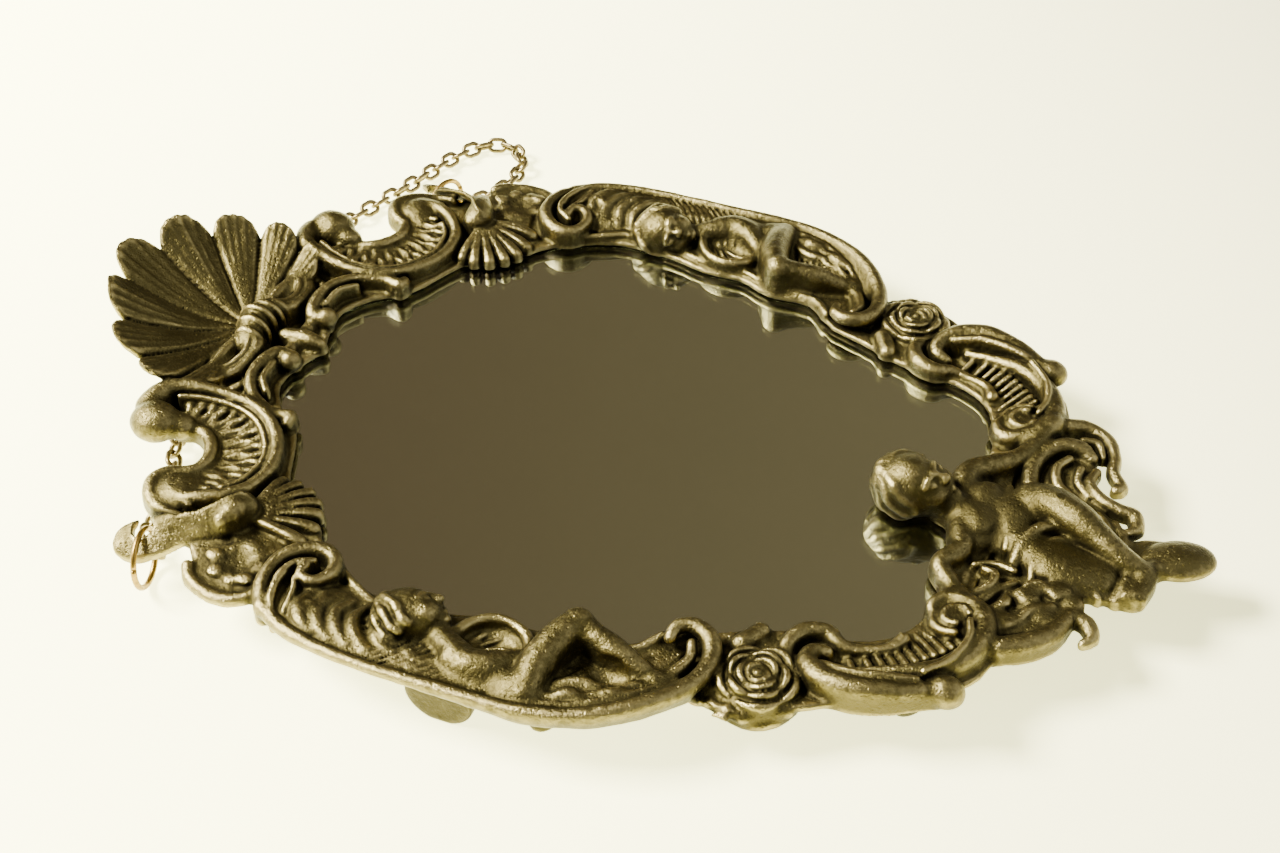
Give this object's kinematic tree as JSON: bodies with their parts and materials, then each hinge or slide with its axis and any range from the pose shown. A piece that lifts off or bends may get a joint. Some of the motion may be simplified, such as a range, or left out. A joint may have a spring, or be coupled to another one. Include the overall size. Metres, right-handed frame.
{
  "type": "framed wall mirror",
  "caption": "Ornate cast-metal wall mirror: glass in a scrolled cartouche frame with a shell crest and cherub figures, hung by rings and a chain.",
  "frame": {"origin": "middle of the outline, on the surface that the back lugs stand on", "axes": "+Y from the standing figure to the shell, +Z out of the mirror's face, +X to the right seen from the front"},
  "size_m": [0.2068, 0.2696, 0.03],
  "materials": {
    "aged_brass": "aged cast brass, dark olive patina in the hollows, worn satin on the ridges",
    "silvered_glass": "silvered float glass with a slightly greenish edge",
    "fibreboard": "plain brown hardboard",
    "clip_brass": "dull sheet brass",
    "screw_steel": "dull plated steel",
    "ring_brass": "bright brass wire",
    "chain_brass": "tarnished brass wire links"
  },
  "bodies": {
    "frame": {"cast_frame": "aged_brass", "mirror_glass": "silvered_glass", "backing_board": "fibreboard", "clip_screw_1": "screw_steel", "clip_screw_2": "screw_steel", "clip_screw_3": "screw_steel", "clip_screw_4": "screw_steel", "hanging_chain": "chain_brass"},
    "clip_1": {"turn_clip_1": "clip_brass"},
    "clip_2": {"turn_clip_2": "clip_brass"},
    "clip_3": {"turn_clip_3": "clip_brass"},
    "clip_4": {"turn_clip_4": "clip_brass"},
    "ring_right": {"hanging_ring_right": "ring_brass"},
    "ring_left": {"hanging_ring_left": "ring_brass"}
  },
  "joints": [
    {"name": "clip_1_turn", "type": "hinge", "parent": "frame", "child": "clip_1", "pos_m": [0.06435, 0.05053, 0.00476], "axis": [0, 0, 1], "continuous": true},
    {"name": "clip_2_turn", "type": "hinge", "parent": "frame", "child": "clip_2", "pos_m": [0.063, -0.04262, 0.00476], "axis": [0, 0, 1], "continuous": true},
    {"name": "clip_3_turn", "type": "hinge", "parent": "frame", "child": "clip_3", "pos_m": [-0.06435, 0.05053, 0.00476], "axis": [0, 0, 1], "continuous": true},
    {"name": "clip_4_turn", "type": "hinge", "parent": "frame", "child": "clip_4", "pos_m": [-0.063, -0.04262, 0.00476], "axis": [0, 0, 1], "continuous": true},
    {"name": "ring_right_swing", "type": "hinge", "parent": "frame", "child": "ring_right", "pos_m": [0.07074, 0.08244, 0.01314], "axis": [0.9644, -0.2644, 0], "range_deg": [-30, 30]},
    {"name": "ring_left_swing", "type": "hinge", "parent": "frame", "child": "ring_left", "pos_m": [-0.07074, 0.08244, 0.01314], "axis": [-0.9644, -0.2644, 0], "range_deg": [-30, 30]}
  ]
}
